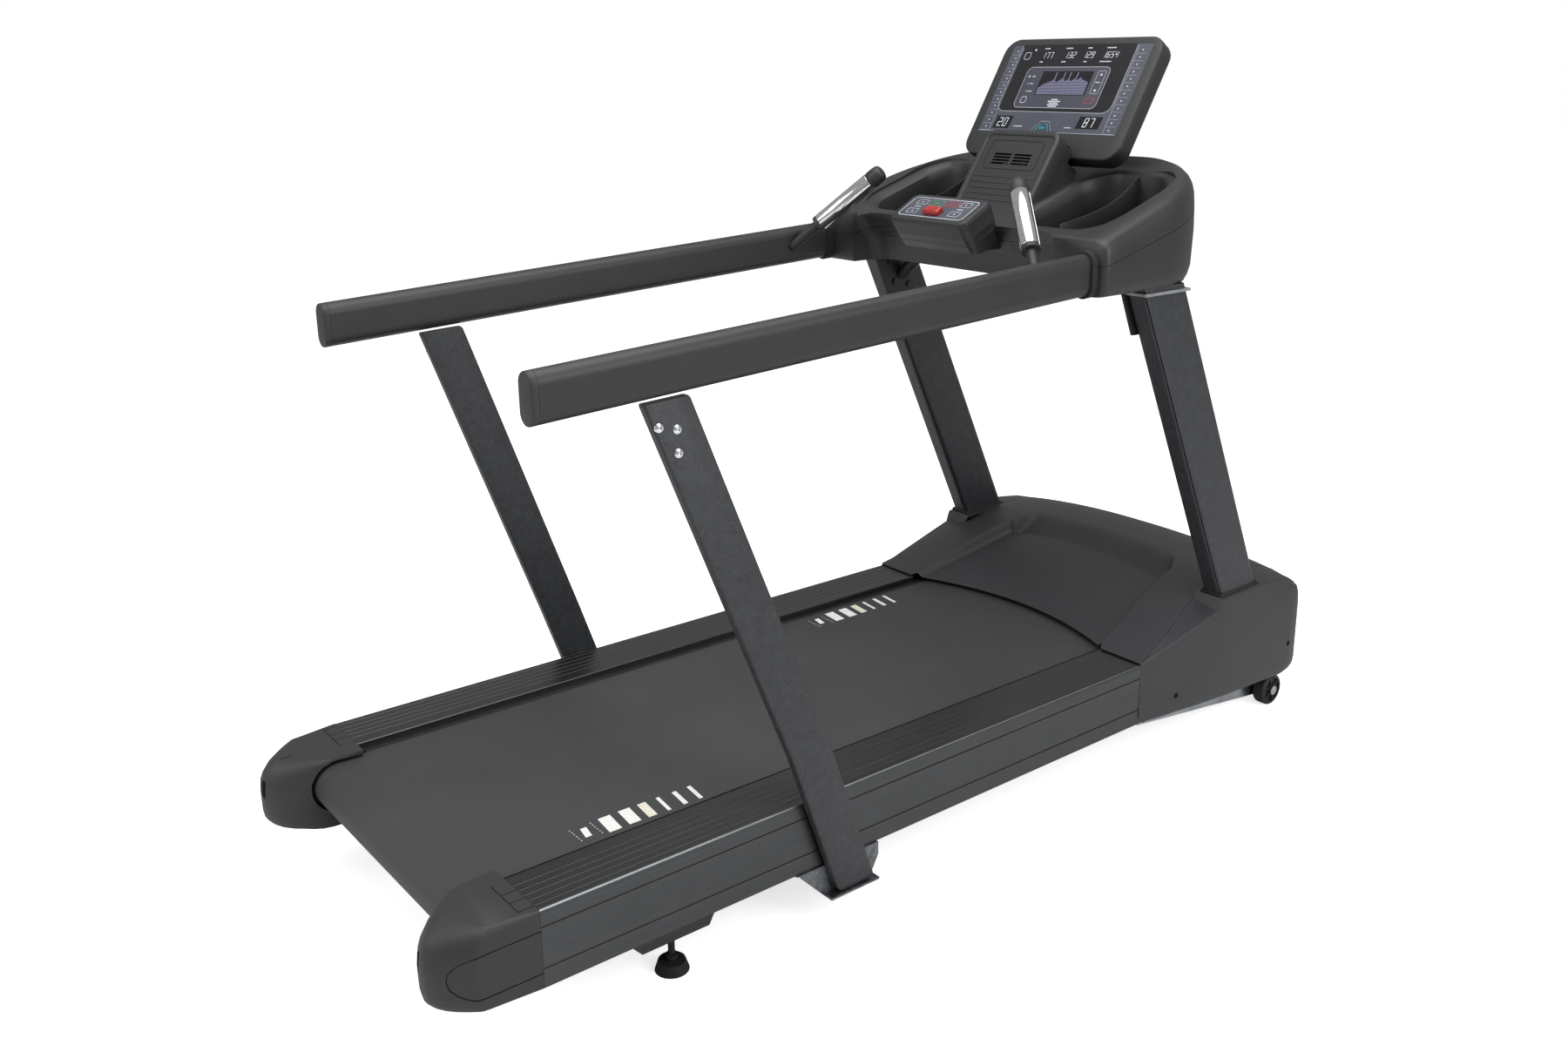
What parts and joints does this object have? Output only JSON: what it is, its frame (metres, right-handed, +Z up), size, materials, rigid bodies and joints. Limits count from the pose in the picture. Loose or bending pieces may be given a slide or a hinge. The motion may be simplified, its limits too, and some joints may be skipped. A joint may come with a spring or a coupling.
{
  "type": "treadmill",
  "caption": "Commercial treadmill with a lifting front end, a tray console with a tilted display and heart-rate grips, and full-length handrails on struts.",
  "frame": {"origin": "middle of the footprint, on the floor", "axes": "+Y forward, the way the user faces; +X to the user's right; +Z up"},
  "size_m": [0.886, 2.19, 1.5409],
  "materials": {
    "coated_steel": "textured powder coat",
    "frame_steel": "smooth paint",
    "rail_aluminium": "dark anodised extrusion",
    "shell_plastic": "fine moulded texture",
    "belt_rubber": "matt, printed bars",
    "soft_rubber": "matt",
    "bare_steel": "plated",
    "chrome": "polished",
    "deck_board": "phenolic faced board",
    "printed_film": "satin printed film",
    "red_plastic": "moulded",
    "motor_paint": "cast body, paint",
    "drive_rubber": "ribbed belt",
    "circuit_board": "solder mask"
  },
  "bodies": {
    "base": {"frame_side_tubes": "frame_steel", "frame_crossmembers": "frame_steel", "running_deck": "deck_board", "deck_cushions": "soft_rubber", "running_belt": "belt_rubber", "roller_axles": "bare_steel", "belt_tension_bolts": "bare_steel", "side_rail_left": "rail_aluminium", "side_rail_right": "rail_aluminium", "rear_end_cap_left": "shell_plastic", "rear_end_cap_right": "shell_plastic", "hood_center_cover": "shell_plastic", "hood_side_cover_left": "shell_plastic", "hood_side_cover_right": "shell_plastic", "belly_pan": "shell_plastic", "hood_screws": "bare_steel", "motor_body": "motor_paint", "motor_controller": "rail_aluminium", "drive_belt": "drive_rubber", "power_inlet": "shell_plastic", "upright_left": "coated_steel", "upright_right": "coated_steel", "upright_mounts": "bare_steel", "upright_trim_rings": "bare_steel", "handrail_left": "shell_plastic", "handrail_right": "shell_plastic", "handrail_end_caps": "shell_plastic", "handrail_collars": "soft_rubber", "strut_left": "coated_steel", "strut_right": "coated_steel", "strut_brackets": "bare_steel", "strut_bolts": "chrome", "console_frame": "coated_steel", "console_upper_shell": "shell_plastic", "console_lower_shell": "shell_plastic", "neck_front_cover": "shell_plastic", "fan_grille": "shell_plastic", "neck_back_cover": "shell_plastic", "display_front_housing": "shell_plastic", "display_overlay": "printed_film", "display_board": "circuit_board", "display_back_cover": "shell_plastic", "pod_housing": "shell_plastic", "pod_overlay": "printed_film", "grip_tubes": "coated_steel", "grip_bodies": "shell_plastic", "grip_sensor_plates": "chrome"},
    "front_roller": {"front_roller": "bare_steel"},
    "rear_roller": {"rear_roller": "bare_steel"},
    "motor_rotor": {"motor_rotor": "bare_steel"},
    "lift_frame": {"lift_frame": "bare_steel"},
    "lift_motor": {"lift_motor": "motor_paint"},
    "lift_screw": {"lift_screw": "bare_steel"},
    "wheel_left": {"wheel_left": "soft_rubber"},
    "wheel_right": {"wheel_right": "soft_rubber"},
    "levelling_foot_left": {"levelling_foot_left": "soft_rubber"},
    "levelling_foot_right": {"levelling_foot_right": "soft_rubber"},
    "safety_key": {"safety_key": "red_plastic"},
    "power_switch": {"power_switch": "shell_plastic"},
    "fan_impeller": {"fan_impeller": "shell_plastic"}
  },
  "joints": [
    {"name": "front_roller_spin", "type": "hinge", "parent": "base", "child": "front_roller", "pos_m": [0, 0.65, 0.196], "axis": [1, 0, 0], "continuous": true},
    {"name": "rear_roller_spin", "type": "hinge", "parent": "base", "child": "rear_roller", "pos_m": [0, -0.975, 0.196], "axis": [1, 0, 0], "continuous": true},
    {"name": "motor_spin", "type": "hinge", "parent": "base", "child": "motor_rotor", "pos_m": [0, 0.89, 0.232], "axis": [1, 0, 0], "continuous": true},
    {"name": "lift_tilt", "type": "hinge", "parent": "base", "child": "lift_frame", "pos_m": [0, 0.575, 0.095], "axis": [-1, 0, 0], "range_deg": [0, 34]},
    {"name": "lift_motor_swing", "type": "hinge", "parent": "base", "child": "lift_motor", "pos_m": [0, 0.752, 0.275], "axis": [-1, 0, 0], "range_deg": [0, 10.5]},
    {"name": "lift_screw_travel", "type": "slide", "parent": "lift_motor", "child": "lift_screw", "axis": [0, 0.0875, -0.9962], "range_m": [0, 0.1057]},
    {"name": "wheel_spin_left", "type": "hinge", "parent": "lift_frame", "child": "wheel_left", "pos_m": [-0.388, 1.025, 0.038], "axis": [1, 0, 0], "continuous": true},
    {"name": "wheel_spin_right", "type": "hinge", "parent": "lift_frame", "child": "wheel_right", "pos_m": [0.388, 1.025, 0.038], "axis": [1, 0, 0], "continuous": true},
    {"name": "foot_height_left", "type": "slide", "parent": "base", "child": "levelling_foot_left", "axis": [0, 0, -1], "range_m": [0, 0.015]},
    {"name": "foot_height_right", "type": "slide", "parent": "base", "child": "levelling_foot_right", "axis": [0, 0, -1], "range_m": [0, 0.015]},
    {"name": "safety_key_pull", "type": "slide", "parent": "base", "child": "safety_key", "axis": [0, -0.4848, 0.8746], "range_m": [0, 0.06]},
    {"name": "power_switch_rock", "type": "hinge", "parent": "base", "child": "power_switch", "pos_m": [-0.183, 1.083, 0.146], "axis": [1, 0, 0], "range_deg": [0, 14]},
    {"name": "fan_spin", "type": "hinge", "parent": "base", "child": "fan_impeller", "pos_m": [0, 0.50939, 1.29696], "axis": [0, 0.829, -0.5592], "continuous": true}
  ],
  "couplings": [
    {"joint": "rear_roller_spin", "follows": "front_roller_spin", "ratio": 1},
    {"joint": "motor_spin", "follows": "front_roller_spin", "ratio": 2},
    {"joint": "lift_motor_swing", "follows": "lift_tilt", "ratio": 0.3066},
    {"joint": "lift_screw_travel", "follows": "lift_tilt", "m_per_rad": 0.17756}
  ]
}
